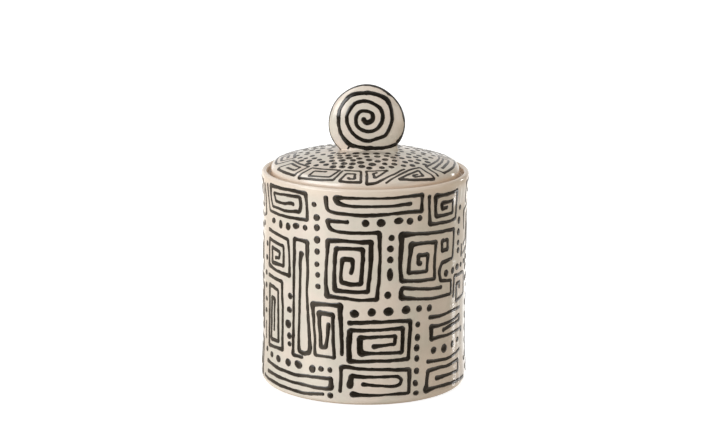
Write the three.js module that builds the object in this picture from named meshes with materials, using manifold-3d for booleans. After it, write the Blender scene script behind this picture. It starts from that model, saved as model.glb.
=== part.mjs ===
// A lidded pottery jar: a cylindrical body with a ledge inside its rim, a domed lid that drops onto
// that ledge, and a pebble-shaped disc knob luted upright on top of the lid.
// Millimetres, +Z up. The origin is the centre of the foot, on the table.
// The knob's two faces look along -Y and +Y.
import * as THREE from "three";
import { mergeVertices } from "three/addons/utils/BufferGeometryUtils.js";
import Module from "manifold-3d";

const wasm = await Module();
wasm.setup();

// Body
const wallRadius = 55; // outside of the straight wall
const wallThickness = 5;
const rimHeight = 116; // table to the top of the rim
const floorThickness = 6;
const floorFillet = 6; // inside corner between floor and wall

// Foot
const footSwell = 0.7; // how far the foot stands out from the wall
const footEase = 22; // height over which the swell runs out into the wall
const footCorner = 3.5; // rounding under the foot
const footRingWidth = 5; // flat ring that meets the table
const footRecess = 2; // hollow under the floor, inside the ring

// Rim and the ledge that carries the lid
const lipSwell = 0.8; // how far the lip stands out from the wall
const lipEase = 14; // height over which the lip runs out into the wall
const lipThickness = 2.9;
const ledgeDepth = 4; // top of the rim down to the ledge
const ledgeReach = 2.8; // how far the ledge stands in from the bore
const ledgeThickness = 3;
const ledgeRound = 0.8; // inner edge of the ledge
const ledgeFillet = 1; // corner between ledge and lip

// Lid
const lidClearance = 2.2; // all round, between lid and lip
const seatGap = 0.3; // glaze between lid and ledge
const lidSet = 0.2; // how far the top of the lid's upright side lies below the rim
const lidThickness = 5;
const lidSeatWidth = 6.5; // flat ring under the lid
const lidUnderRound = 1.2; // outer lower edge
const shoulderRound = 4.6; // upright side over to dome
const domeSlope = THREE.MathUtils.degToRad(17.8); // of the dome where it meets the shoulder
const domeFullness = 2.2; // 1 is a cone, 2 a paraboloid

// Knob
const knobRadius = 20.3;
const knobThickness = 14;
const knobSquareness = 2.2; // 2 is an ellipse in section, more is a flatter face and a tighter edge
const knobSink = 6.25; // how far the disc's circle reaches below the top of the dome
const knobFlare = 2; // clay drawn out round the foot of the disc
const lutingGap = 0.3; // slip between knob and lid

// Fineness of the faceted surfaces
const turnSegments = 64;
const arcSteps = 3;
const domeSteps = 12;
const knobTurnSegments = 44;
const knobSectionSteps = 9;
const flareSegments = 36;
const flareSteps = 4;

// Sizes that follow from those above
const footRadius = wallRadius + footSwell;
const footRingOuter = footRadius - footCorner;
const footRingInner = footRingOuter - footRingWidth;
const floorTop = footRecess + floorThickness;
const boreRadius = wallRadius - wallThickness;
const lipRadius = wallRadius + lipSwell;
const lipRound = lipThickness / 2;
const galleryRadius = lipRadius - lipThickness;
const ledgeHeight = rimHeight - ledgeDepth;
const mouthRadius = boreRadius - ledgeReach;
const ledgeUnderside = ledgeHeight - ledgeThickness;
const seatHeight = ledgeHeight + seatGap;
const lidRadius = galleryRadius - lidClearance;
const lidSeatInner = lidRadius - lidSeatWidth;
const lidSideTop = rimHeight - lidSet - seatHeight;
const domeRadius = lidRadius - shoulderRound * (1 - Math.sin(domeSlope));
const domeFoot = lidSideTop + shoulderRound * Math.cos(domeSlope);
const domeRise = (domeRadius * Math.tan(domeSlope)) / domeFullness;
const domeTop = domeFoot + domeRise;
const knobCentre = domeTop + knobRadius - knobSink;

const creamGlaze = { color: 0xe6d7c4, roughness: 0.22, metalness: 0 };

// Height of the dome's outside at a distance from the lid's axis, from the underside of the lid.
function domeHeight(radius) {
  return domeTop - domeRise * (radius / domeRadius) ** domeFullness;
}

// Points of the dome from one radius to another, moved up or down by an offset.
function domePoints(from, to, offset) {
  return Array.from({ length: domeSteps + 1 }, (_, i) => {
    const radius = THREE.MathUtils.lerp(from, to, i / domeSteps);
    return new THREE.Vector2(radius, domeHeight(radius) + offset);
  });
}

// A profile of radius and height, turned about +Z.
function turned(points) {
  return new THREE.LatheGeometry(points, turnSegments).rotateX(Math.PI / 2);
}

function solidOf(geometry) {
  const bare = geometry.clone();
  bare.deleteAttribute("normal");
  bare.deleteAttribute("uv");
  const merged = mergeVertices(bare);
  return new wasm.Manifold(
    new wasm.Mesh({
      numProp: 3,
      vertProperties: new Float32Array(merged.attributes.position.array),
      triVerts: new Uint32Array(merged.index.array),
    }),
  );
}

function geometryOf(solid) {
  const { vertProperties, triVerts } = solid.getMesh();
  const geometry = new THREE.BufferGeometry()
    .setAttribute("position", new THREE.BufferAttribute(vertProperties, 3))
    .setIndex(new THREE.BufferAttribute(triVerts, 1));
  geometry.computeVertexNormals();
  return geometry;
}

function piece(name, geometry) {
  const mesh = new THREE.Mesh(
    geometry,
    new THREE.MeshStandardMaterial(creamGlaze),
  );
  mesh.name = name;
  return mesh;
}

// Jar body: foot ring, swelling foot, straight wall, rounded lip, ledge, bore and floor in one profile.
function jarBody() {
  const lipFoot = rimHeight - lipRound - lipEase;
  const swellTop = footCorner + footEase;
  const outline = new THREE.Path()
    .moveTo(0, footRecess)
    .lineTo(footRingInner - footRecess, footRecess)
    .lineTo(footRingInner, 0)
    .lineTo(footRingOuter, 0)
    .absarc(footRingOuter, footCorner, footCorner, -Math.PI / 2, 0, false)
    .bezierCurveTo(
      footRadius,
      footCorner + footEase / 2,
      wallRadius,
      footCorner + footEase / 2,
      wallRadius,
      swellTop,
    )
    .lineTo(wallRadius, lipFoot)
    .bezierCurveTo(
      wallRadius,
      lipFoot + lipEase / 2,
      lipRadius,
      lipFoot + lipEase / 2,
      lipRadius,
      rimHeight - lipRound,
    )
    .absarc(lipRadius - lipRound, rimHeight - lipRound, lipRound, 0, Math.PI, false)
    .lineTo(galleryRadius, ledgeHeight + ledgeFillet)
    .absarc(galleryRadius - ledgeFillet, ledgeHeight + ledgeFillet, ledgeFillet, 0, -Math.PI / 2, true)
    .lineTo(mouthRadius + ledgeRound, ledgeHeight)
    .absarc(mouthRadius + ledgeRound, ledgeHeight - ledgeRound, ledgeRound, Math.PI / 2, Math.PI, false)
    .lineTo(mouthRadius, ledgeUnderside)
    .lineTo(boreRadius, ledgeUnderside - ledgeReach)
    .lineTo(boreRadius, floorTop + floorFillet)
    .absarc(boreRadius - floorFillet, floorTop + floorFillet, floorFillet, 0, -Math.PI / 2, true)
    .lineTo(0, floorTop);
  return piece("jar_body", turned(outline.getPoints(arcSteps)));
}

// Lid: a shell with a flat ring under its edge. Its own frame starts at that ring.
function lid() {
  const outline = new THREE.Path()
    .moveTo(lidSeatInner, 0)
    .lineTo(lidRadius - lidUnderRound, 0)
    .absarc(lidRadius - lidUnderRound, lidUnderRound, lidUnderRound, -Math.PI / 2, 0, false)
    .lineTo(lidRadius, lidSideTop)
    .absarc(lidRadius - shoulderRound, lidSideTop, shoulderRound, 0, Math.PI / 2 - domeSlope, false);
  const underside = domePoints(0, lidSeatInner, -lidThickness);
  const outside = outline.getPoints(arcSteps).slice(0, -1);
  const top = domePoints(domeRadius, 0, 0);
  return piece("lid", turned([...underside, ...outside, ...top]));
}

// Half the knob's thickness at a distance from the disc's centre.
function knobHalfThickness(radius) {
  const rest = 1 - (radius / knobRadius) ** knobSquareness;
  return (knobThickness / 2) * Math.max(rest, 0) ** (1 / knobSquareness);
}

// The disc, turned about Y so that its faces look along -Y and +Y, centred on its own middle.
function knobDisc() {
  const section = [];
  for (let i = -knobSectionSteps; i <= knobSectionSteps; i++) {
    const turn = (Math.PI / 2) * (1 - Math.abs(i) / knobSectionSteps);
    const radius = knobRadius * Math.sin(turn);
    section.push(new THREE.Vector2(radius, Math.sign(i) * knobHalfThickness(radius)));
  }
  return new THREE.LatheGeometry(section, knobTurnSegments);
}

// Clay drawn out round the knob's foot: oval rings that spread in a concave curve onto the dome.
function knobFoot() {
  const drop = knobCentre - domeTop;
  const halfLength = Math.sqrt(knobRadius ** 2 - drop ** 2);
  const halfWidth = knobHalfThickness(drop);
  const positions = [];
  const index = [];
  const ring = (spread, lift) => {
    for (let i = 0; i < flareSegments; i++) {
      const turn = (2 * Math.PI * i) / flareSegments;
      const x = (halfLength + spread) * Math.cos(turn);
      const y = (halfWidth + spread) * Math.sin(turn);
      positions.push(x, y, domeHeight(Math.hypot(x, y)) + lift);
    }
  };
  ring(knobFlare, -knobFlare);
  for (let k = 0; k <= flareSteps; k++) {
    const bend = (Math.PI / 2) * (k / flareSteps);
    ring(knobFlare * (1 - Math.sin(bend)), knobFlare * (1 - Math.cos(bend)));
  }
  const rings = flareSteps + 2;
  for (let k = 0; k < rings - 1; k++) {
    for (let i = 0; i < flareSegments; i++) {
      const a = k * flareSegments + i;
      const b = k * flareSegments + ((i + 1) % flareSegments);
      index.push(a, b, b + flareSegments, a, b + flareSegments, a + flareSegments);
    }
  }
  const bottom = positions.length / 3;
  positions.push(0, 0, domeTop - knobFlare, 0, 0, domeTop + knobFlare);
  const topRing = (rings - 1) * flareSegments;
  for (let i = 0; i < flareSegments; i++) {
    const next = (i + 1) % flareSegments;
    index.push(bottom, next, i, bottom + 1, topRing + i, topRing + next);
  }
  return new THREE.BufferGeometry()
    .setAttribute("position", new THREE.Float32BufferAttribute(positions, 3))
    .setIndex(index);
}

// Knob: the disc and its flared foot, trimmed to the dome less the thickness of the slip. Lid's frame.
function knob() {
  const disc = solidOf(knobDisc().translate(0, 0, knobCentre));
  const foot = solidOf(knobFoot());
  const underDome = [
    new THREE.Vector2(0, -knobRadius),
    new THREE.Vector2(domeRadius, -knobRadius),
    ...domePoints(domeRadius, 0, lutingGap),
  ];
  return piece("knob", geometryOf(disc.add(foot).subtract(solidOf(turned(underDome)))));
}

const lidAssembly = new THREE.Group();
lidAssembly.position.z = seatHeight;
lidAssembly.add(lid(), knob());

const jar = new THREE.Group();
jar.add(jarBody(), lidAssembly);

export default jar;
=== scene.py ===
"""A lidded pottery jar in cream glaze, drawn all over with raised lines and dots of black slip."""
import math
from bisect import bisect_left

import bpy
from mathutils import Matrix, Vector, noise
from mathutils.bvhtree import BVHTree

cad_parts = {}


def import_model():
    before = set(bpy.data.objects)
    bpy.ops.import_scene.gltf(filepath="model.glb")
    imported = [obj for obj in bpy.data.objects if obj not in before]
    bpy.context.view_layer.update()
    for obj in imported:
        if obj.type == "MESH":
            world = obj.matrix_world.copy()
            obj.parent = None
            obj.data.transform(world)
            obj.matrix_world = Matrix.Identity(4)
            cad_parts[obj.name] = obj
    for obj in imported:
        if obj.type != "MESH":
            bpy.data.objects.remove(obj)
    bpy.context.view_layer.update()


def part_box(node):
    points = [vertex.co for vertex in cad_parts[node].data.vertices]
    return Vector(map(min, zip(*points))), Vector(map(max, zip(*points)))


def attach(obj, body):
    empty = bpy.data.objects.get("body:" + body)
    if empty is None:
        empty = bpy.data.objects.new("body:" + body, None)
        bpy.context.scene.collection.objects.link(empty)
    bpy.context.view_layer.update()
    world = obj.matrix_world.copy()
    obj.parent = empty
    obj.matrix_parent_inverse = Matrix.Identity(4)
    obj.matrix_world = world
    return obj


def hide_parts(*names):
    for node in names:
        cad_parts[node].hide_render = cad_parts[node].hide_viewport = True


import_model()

# Shapes are modelled in millimetres and brought to metres when a piece is finished
MM = 0.001
MERGE_DISTANCE = 1e-4

# Sizes that the frame gives
JAR_HIGH = [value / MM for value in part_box("jar_body")[1]]
LID_LOW = [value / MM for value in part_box("lid")[0]]
LID_HIGH = [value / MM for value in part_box("lid")[1]]
KNOB_HIGH = [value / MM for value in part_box("knob")[1]]
LIP_RADIUS = JAR_HIGH[0]
RIM = JAR_HIGH[2]
LID_RADIUS = LID_HIGH[0]
LID_SEAT = LID_LOW[2]
DOME_TOP = LID_HIGH[2]
KNOB_RADIUS = KNOB_HIGH[0]
KNOB_CENTRE = KNOB_HIGH[2] - KNOB_RADIUS

# Jar body
WALL_THICKNESS = 5
LIP_SWELL = 0.8
LIP_EASE = 14
LIP_ROUND = 1.45
WALL_RADIUS = LIP_RADIUS - LIP_SWELL
FOOT_SWELL = 0.7
FOOT_EASE = 22
FOOT_CORNER = 3.5
FOOT_RING_WIDTH = 5
FOOT_RECESS = 2
FOOT_RADIUS = WALL_RADIUS + FOOT_SWELL
FOOT_RING_OUTER = FOOT_RADIUS - FOOT_CORNER
FOOT_RING_INNER = FOOT_RING_OUTER - FOOT_RING_WIDTH
FOOT_RING_BEVEL = (0.5, 0.3)
GALLERY_RADIUS = LIP_RADIUS - 2 * LIP_ROUND
LEDGE_DEPTH = 4
LEDGE = RIM - LEDGE_DEPTH
LEDGE_THICKNESS = 3
LEDGE_ROUND = 0.8
LEDGE_FILLET = 1
BORE_RADIUS = WALL_RADIUS - WALL_THICKNESS
LEDGE_REACH = 2.8
MOUTH_RADIUS = BORE_RADIUS - LEDGE_REACH
MOUTH_BEVEL = (0.3, 0.6)
BORE_EASE = (0.4, 0.6)
FLOOR_THICKNESS = 6
FLOOR_TOP = FOOT_RECESS + FLOOR_THICKNESS
FLOOR_FILLET = 6
# The hand-made wall strays from a true round, but for the middle of its floor
POLE_RADIUS = 1
# Each stray: size, waves round the wall, their start, and their twist per millimetre of height
STRAYS = [(0.14, 2, 0.7, 0.006), (0.07, 3, -1.1, 0.03), (0.04, 5, 0, 0.07)]

# Lid
LID_SET = 0.2
SHOULDER_ROUND = 4.6
SHOULDER_FOOT = RIM - LID_SET
DOME_SLOPE = math.radians(17.8)
DOME_FULLNESS = 2.2
DOME_RADIUS = LID_RADIUS - SHOULDER_ROUND * (1 - math.sin(DOME_SLOPE))
DOME_RISE = DOME_RADIUS * math.tan(DOME_SLOPE) / DOME_FULLNESS
LID_THICKNESS = 5
LID_SEAT_WIDTH = 6.5
LID_SEAT_INNER = LID_RADIUS - LID_SEAT_WIDTH
LID_SEAT_BEVEL = 0.5
LID_UNDER_ROUND = 1.2
# Edge of the hollow under the lid: how far its rounding reaches in, up and down
HOLLOW_EASE = (0.3, 0.05, 0.6)
LID_GIRTH_RADIUS = 48

# Steps along the sections of jar and lid, and round them
RECESS_STEPS = 4
FOOT_CORNER_STEPS = 10
WALL_STEP = 2.5
WALL_STEPS = 44
LIP_STEPS = 16
LEDGE_STEPS = 5
BORE_STEPS = 12
FLOOR_FILLET_STEPS = 8
FLOOR_STEPS = 6
DOME_STEPS = 24
SHOULDER_STEPS = 12
LID_SIDE_STEPS = 2
LID_UNDER_STEPS = 6
HOLLOW_STEPS = 16
TURN_STEPS = 256

# Knob
KNOB_HALF_THICKNESS = 7
KNOB_SQUARENESS = 2.2
KNOB_TANG = 3
KNOB_FLARE = 1.2
KNOB_OFF_AXIS = 0.6
KNOB_CROWN = 1.027
# Where the pebble is pressed in or stands out: direction and spread in degrees, share of its radius
KNOB_DENTS = [(50, 28, -0.029), (122, 20, -0.012), (-12, 25, 0.014), (203, 22, 0.018)]
KNOB_SECTION_STEPS = 24
KNOB_TURN_STEPS = 96
KNOB_VOXEL = 0.42
THUMB_FACTOR = 0.5
THUMB_PASSES = 14
COLLAR_OFF_AXIS = 1.5
COLLAR_SIDES = 72
# Rings of the collar: height over the top of the dome, and share of the flare
COLLAR_RINGS = [(-KNOB_TANG, 1.5), (-1.2, 1.25), (0, 0.72), (0.8, 0.36), (1.7, 0.1), (3, -0.2)]
# How far outside the knob the search for a place on its skin starts
KNOB_OUTSIDE = 40

# Lines and dots of slip
LINE_HALF_WIDTH = 0.98
LINE_RELIEF = 0.22
LINE_SINK = 0.3
WIDE_LINE_RELIEF = 1.15
WALL_DOT_RELIEF = LINE_RELIEF * 1.3
LID_LINE_HALF_WIDTH = 0.84
LID_LINE_RELIEF = 0.09
LID_DOT_RELIEF = 0.17
KNOB_LINE_HALF_WIDTH = 1.02
KNOB_LINE_RELIEF = 0.25
KNOB_EDGE_HALF_WIDTH = 1.9
KNOB_EDGE_RELIEF = 0.2

# Corners of a line: how far they are cut, at most which share of a stretch, and in how many steps
CORNER_CUT = 0.8
BEND_CUT = 6
CUT_LIMIT = 0.46
CORNER_STEPS = 5
SHARP_TURN = math.radians(50)
LINE_STEP = 1.0
TIP_STEPS = (0.04, 0.2, 0.5)

# The hand: a line swells at its corners and tips, and wavers in width and place
CORNER_SWELL = 0.16
CORNER_SWELL_REACH = 1.2
CORNER_SWELL_TURN = 1.5
CORNER_SWELL_MOST = 1.2
CORNER_SWELL_POINTS = 9
TIP_SWELL = 0.12
TIP_SWELL_REACH = 2.2
WIDTH_WAVER = 0.17
PLACE_WAVER = 0.32
# Noise along a line: share, waves per millimetre, step from line to line, and level
WIDTH_NOISE = [(1, 0.17, 7.3, 1.7), (0.9, 0.46, 3.1, 5)]
PLACE_NOISE = [(1, 0.12, 7.3, 8.1), (0.5, 0.38, 5.7, 2.3)]

# Dabs of slip for the dots
DAB_SEGMENTS = 16
DAB_RINGS = 8
DAB_FLATNESS = 1.4
DAB_BLOT = 0.1
DAB_BLOT_WAVES = 1.1
DAB_BLOT_STEP = (3.7, 1.3)


# Mesh tools

def pick(piece):
    """Make one object the only one that is selected, and the active one."""
    bpy.ops.object.select_all(action="DESELECT")
    piece.select_set(True)
    bpy.context.view_layer.objects.active = piece


def edit_all():
    """Go into edit mode with the whole mesh selected."""
    bpy.ops.object.mode_set(mode="EDIT")
    bpy.ops.mesh.select_all(action="SELECT")


def merge_and_face_out():
    """In edit mode: close seams and poles, then turn every face outwards."""
    bpy.ops.mesh.select_all(action="SELECT")
    bpy.ops.mesh.remove_doubles(threshold=MERGE_DISTANCE)
    bpy.ops.mesh.normals_make_consistent(inside=False)


def spun(name, chain, axis, centre, steps):
    """A chain of points drawn edge by edge and spun right round an axis."""
    bpy.ops.object.select_all(action="DESELECT")
    bpy.ops.mesh.primitive_plane_add(size=1, location=(0, 0, 0))
    piece = bpy.context.object
    piece.name = name
    edit_all()
    bpy.ops.mesh.merge(type="CENTER")
    last = Vector(chain[0])
    bpy.ops.transform.translate(value=last)
    for point in chain[1:]:
        step = Vector(point) - last
        bpy.ops.mesh.extrude_region_move(TRANSFORM_OT_translate={"value": step})
        last = Vector(point)
    bpy.ops.mesh.select_all(action="SELECT")
    bpy.ops.mesh.spin(steps=steps, angle=math.tau, center=centre, axis=axis, use_auto_merge=True)
    merge_and_face_out()
    bpy.ops.object.mode_set(mode="OBJECT")
    return piece


def finish(piece, body, material, replaced=None):
    """Bring a piece to metres, give it its material and hang it on its body."""
    pick(piece)
    piece.scale = (MM, MM, MM)
    bpy.ops.object.transform_apply(location=True, rotation=True, scale=True)
    bpy.ops.object.shade_smooth()
    piece.data.materials.clear()
    piece.data.materials.append(material)
    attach(piece, body)
    if replaced:
        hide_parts(replaced)


def arc(centre_r, centre_z, radius, start, end, steps):
    """Points of (radius, height) along an arc, angles in degrees."""
    points = []
    for i in range(steps + 1):
        turn = math.radians(start + (end - start) * i / steps)
        points.append((centre_r + radius * math.cos(turn), centre_z + radius * math.sin(turn)))
    return points


def run(start, end, steps):
    """Points along a straight line, without its first."""
    points = []
    for i in range(1, steps + 1):
        share = i / steps
        points.append((start[0] + (end[0] - start[0]) * share, start[1] + (end[1] - start[1]) * share))
    return points


def ease(value):
    """From 0 to 1 with level ends."""
    value = min(max(value, 0), 1)
    return value * value * (3 - 2 * value)


# Jar body

def wall_radius(z):
    """Outside radius of the wall at a height, from the rounding under the foot to the lip."""
    lip = ease((z - (RIM - LIP_ROUND - LIP_EASE)) / LIP_EASE)
    foot = ease((FOOT_CORNER + FOOT_EASE - z) / FOOT_EASE)
    radius = WALL_RADIUS + LIP_SWELL * lip + FOOT_SWELL * foot
    if z < FOOT_CORNER:
        radius += math.sqrt(max(FOOT_CORNER**2 - (FOOT_CORNER - z) ** 2, 0)) - FOOT_CORNER
    return radius


def throwing(angle, z):
    """How far the hand-made wall strays from a true round."""
    return sum(size * math.sin(waves * angle + start + z * twist) for size, waves, start, twist in STRAYS)


def jar_profile():
    """Half the jar's section as points of (radius, height), from under the floor round to its top."""
    outside = [(wall_radius(z), z) for z in (FOOT_CORNER + i * WALL_STEP for i in range(WALL_STEPS))]
    lip = arc(LIP_RADIUS - LIP_ROUND, RIM - LIP_ROUND, LIP_ROUND, 0, 180, LIP_STEPS)
    gallery = GALLERY_RADIUS - LEDGE_FILLET
    ledge_outer = arc(gallery, LEDGE + LEDGE_FILLET, LEDGE_FILLET, 0, -90, LEDGE_STEPS)
    ledge_inner = arc(MOUTH_RADIUS + LEDGE_ROUND, LEDGE - LEDGE_ROUND, LEDGE_ROUND, 90, 180, LEDGE_STEPS)
    under = LEDGE - LEDGE_THICKNESS
    bore_top = under - LEDGE_REACH - BORE_EASE[1]
    bore_foot = FLOOR_TOP + FLOOR_FILLET
    floor_edge = BORE_RADIUS - FLOOR_FILLET
    return [
        (0, FOOT_RECESS),
        *run((0, FOOT_RECESS), (FOOT_RING_INNER - FOOT_RECESS, FOOT_RECESS), RECESS_STEPS),
        (FOOT_RING_INNER - FOOT_RING_BEVEL[0], FOOT_RING_BEVEL[1]),
        (FOOT_RING_INNER, 0),
        (FOOT_RING_OUTER, 0),
        *arc(FOOT_RING_OUTER, FOOT_CORNER, FOOT_CORNER, -90, 0, FOOT_CORNER_STEPS)[1:-1],
        *outside,
        *lip,
        *ledge_outer,
        *ledge_inner,
        (MOUTH_RADIUS, under + MOUTH_BEVEL[1]),
        (MOUTH_RADIUS + MOUTH_BEVEL[0], under),
        (BORE_RADIUS - BORE_EASE[0], under - LEDGE_REACH + BORE_EASE[0]),
        (BORE_RADIUS, bore_top),
        *run((BORE_RADIUS, bore_top), (BORE_RADIUS, bore_foot), BORE_STEPS)[:-1],
        *arc(floor_edge, bore_foot, FLOOR_FILLET, 0, -90, FLOOR_FILLET_STEPS),
        *run((floor_edge, FLOOR_TOP), (0, FLOOR_TOP), FLOOR_STEPS),
    ]


def jar_body(material):
    """Foot, wall, lip, ledge, bore and floor in one spun piece, a little out of round."""
    chain = [(radius, 0, z) for radius, z in jar_profile()]
    piece = spun("jar_glazed", chain, (0, 0, 1), (0, 0, 0), TURN_STEPS)
    for vertex in piece.data.vertices:
        x, y, z = vertex.co
        if math.hypot(x, y) > POLE_RADIUS:
            size = 1 + throwing(math.atan2(x, -y), z) / WALL_RADIUS
            vertex.co.x *= size
            vertex.co.y *= size
    finish(piece, "jar", material, "jar_body")


def on_wall(along, z, height):
    """A point on the outside of the wall, at a distance along it from the middle of the front."""
    angle = along / WALL_RADIUS
    radius = wall_radius(z) + throwing(angle, z) + height
    return (radius * math.sin(angle), -radius * math.cos(angle), z)


# Lid

def dome(radius):
    """Height of the dome's outside at a distance from the axis."""
    return DOME_TOP - DOME_RISE * (radius / DOME_RADIUS) ** DOME_FULLNESS


# The lid's outside from the top of the dome down to its edge, and how far down its slope each point lies
LID_TOP = [(radius, dome(radius)) for radius in (DOME_RADIUS * i / DOME_STEPS for i in range(DOME_STEPS))]
SHOULDER_START = 90 - math.degrees(DOME_SLOPE)
LID_TOP += arc(LID_RADIUS - SHOULDER_ROUND, SHOULDER_FOOT, SHOULDER_ROUND, SHOULDER_START, 0, SHOULDER_STEPS)
LID_TOP += run(LID_TOP[-1], (LID_RADIUS, LID_SEAT + LID_UNDER_ROUND), LID_SIDE_STEPS)
LID_REACH = [0]
for inner, outer in zip(LID_TOP, LID_TOP[1:]):
    LID_REACH.append(LID_REACH[-1] + math.dist(inner, outer))


def lid(material):
    """Dome, shoulder, seat and hollow in one spun piece."""
    radii = [LID_SEAT_INNER * i / HOLLOW_STEPS for i in range(HOLLOW_STEPS)]
    under = [(radius, dome(radius) - LID_THICKNESS) for radius in radii]
    edge = dome(LID_SEAT_INNER) - LID_THICKNESS
    corner = (LID_RADIUS - LID_UNDER_ROUND, LID_SEAT + LID_UNDER_ROUND)
    profile = [
        *under,
        (LID_SEAT_INNER - HOLLOW_EASE[0], edge + HOLLOW_EASE[1]),
        (LID_SEAT_INNER, edge - HOLLOW_EASE[2]),
        (LID_SEAT_INNER, LID_SEAT + LID_SEAT_BEVEL),
        (LID_SEAT_INNER + LID_SEAT_BEVEL, LID_SEAT),
        *arc(*corner, LID_UNDER_ROUND, -90, 0, LID_UNDER_STEPS)[:-1],
        *reversed(LID_TOP),
    ]
    chain = [(radius, 0, z) for radius, z in profile]
    piece = spun("lid_glazed", chain, (0, 0, 1), (0, 0, 0), TURN_STEPS)
    finish(piece, "lid", material, "lid")


def on_lid(along, reach, height):
    """A point on the lid: along its girth from the front, and down its slope from the top of the dome."""
    i = min(max(bisect_left(LID_REACH, reach), 1), len(LID_REACH) - 1)
    share = (reach - LID_REACH[i - 1]) / (LID_REACH[i] - LID_REACH[i - 1])
    (r0, z0), (r1, z1) = LID_TOP[i - 1], LID_TOP[i]
    slope = math.atan2(z0 - z1, r1 - r0)
    radius = r0 + (r1 - r0) * share + height * math.sin(slope)
    z = z0 + (z1 - z0) * share + height * math.cos(slope)
    angle = along / LID_GIRTH_RADIUS
    return (radius * math.sin(angle), -radius * math.cos(angle), z)


def on_dome(x, y, height):
    """A point on the dome, seen from above."""
    return (x, y, dome(math.hypot(x, y)) + height)


# Knob

def knob_half_thickness(radius):
    """Half the pebble's thickness at a distance from its middle."""
    rest = max(1 - (radius / KNOB_RADIUS) ** KNOB_SQUARENESS, 0)
    return KNOB_HALF_THICKNESS * rest ** (1 / KNOB_SQUARENESS)


def knob(material):
    """A pebble of clay on edge, with a collar of clay smeared down onto the dome."""
    chain = []
    for i in range(-KNOB_SECTION_STEPS, KNOB_SECTION_STEPS + 1):
        radius = KNOB_RADIUS * math.sin(math.pi / 2 * (1 - abs(i) / KNOB_SECTION_STEPS))
        chain.append((radius, math.copysign(knob_half_thickness(radius), i), KNOB_CENTRE))
    piece = spun("knob_glazed", chain, (0, 1, 0), (0, 0, KNOB_CENTRE), KNOB_TURN_STEPS)
    edit_all()
    bpy.ops.mesh.bisect(
        plane_co=(0, 0, DOME_TOP - KNOB_TANG), plane_no=(0, 0, 1), clear_inner=True, use_fill=True
    )
    merge_and_face_out()
    bpy.ops.object.mode_set(mode="OBJECT")
    collar = knob_collar()
    pick(collar)
    piece.select_set(True)
    bpy.context.view_layer.objects.active = piece
    bpy.ops.object.join()
    remesh = piece.modifiers.new("one_lump", "REMESH")
    remesh.mode = "VOXEL"
    remesh.voxel_size = KNOB_VOXEL
    bpy.ops.object.modifier_apply(modifier=remesh.name)
    thumb = piece.modifiers.new("thumbed_smooth", "SMOOTH")
    thumb.factor = THUMB_FACTOR
    thumb.iterations = THUMB_PASSES
    bpy.ops.object.modifier_apply(modifier=thumb.name)
    bpy.ops.transform.translate(value=(KNOB_OFF_AXIS, 0, 0))
    bpy.ops.object.transform_apply(location=True)
    for vertex in piece.data.vertices:
        across = vertex.co.x - KNOB_OFF_AXIS
        up = vertex.co.z - KNOB_CENTRE
        bearing = (math.degrees(math.atan2(up, across)) + 90) % 360 - 90
        size = 1 + sum(
            depth * math.exp(-(((bearing - at) / spread) ** 2)) for at, spread, depth in KNOB_DENTS
        )
        crown = KNOB_CROWN if up > 0 else 1
        vertex.co.x = KNOB_OFF_AXIS + across * size
        vertex.co.z = KNOB_CENTRE + up * size * crown
    skin = BVHTree.FromPolygons(
        [vertex.co.copy() for vertex in piece.data.vertices],
        [tuple(face.vertices) for face in piece.data.polygons],
    )
    finish(piece, "lid", material, "knob")
    return skin


def knob_collar():
    """An oval skirt that spreads from the foot of the knob into the dome."""
    drop = KNOB_CENTRE - DOME_TOP
    half_length = math.sqrt(KNOB_RADIUS**2 - drop**2)
    half_width = knob_half_thickness(drop)
    bpy.ops.object.select_all(action="DESELECT")
    bpy.ops.mesh.primitive_circle_add(
        vertices=COLLAR_SIDES, radius=1, fill_type="NGON", location=(0, 0, DOME_TOP - KNOB_TANG)
    )
    collar = bpy.context.object
    bpy.ops.object.transform_apply(location=True)
    edit_all()
    level, spread = COLLAR_RINGS[0]
    wide = (half_length + KNOB_FLARE * spread, half_width + KNOB_FLARE * spread)
    bpy.ops.transform.resize(value=(wide[0], wide[1], 1), center_override=(0, 0, DOME_TOP + level))
    for next_level, next_spread in COLLAR_RINGS[1:]:
        lift = next_level - level
        bpy.ops.mesh.extrude_region_move(TRANSFORM_OT_translate={"value": (0, 0, lift)})
        level = next_level
        new = (half_length + KNOB_FLARE * next_spread, half_width + KNOB_FLARE * next_spread)
        size = (new[0] / wide[0], new[1] / wide[1], 1)
        bpy.ops.transform.resize(value=size, center_override=(0, 0, DOME_TOP + level))
        wide = new
    merge_and_face_out()
    bpy.ops.transform.translate(value=(COLLAR_OFF_AXIS, 0, 0))
    bpy.ops.object.mode_set(mode="OBJECT")
    return collar


class KnobSkin:
    """Places on the knob, found on its finished skin."""

    def __init__(self, skin):
        self.skin = skin
        self.centre = Vector((KNOB_OFF_AXIS, 0, KNOB_CENTRE))

    def lift(self, outside, inward, height):
        """A point over the skin, looked for along a ray from outside."""
        place, normal, _, _ = self.skin.ray_cast(outside, inward)
        if place is None:
            place, normal, _, _ = self.skin.find_nearest(outside)
        return place + normal * height

    def front(self, x, up, height):
        """Across the front face from its middle, and up from it."""
        return self.lift(self.centre + Vector((x, -KNOB_OUTSIDE, up)), Vector((0, 1, 0)), height)

    def back(self, x, up, height):
        """The same on the back face, as seen from behind."""
        return self.lift(self.centre + Vector((-x, KNOB_OUTSIDE, up)), Vector((0, -1, 0)), height)

    def edge(self, along, aside, height):
        """Along the edge from the right hand end, and across it from the middle of its thickness."""
        angle = along / KNOB_RADIUS
        out = Vector((math.cos(angle), 0, math.sin(angle)))
        outside = self.centre + out * KNOB_OUTSIDE + Vector((0, aside, 0))
        return self.lift(outside, -out, height)


# Lines of slip

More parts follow.
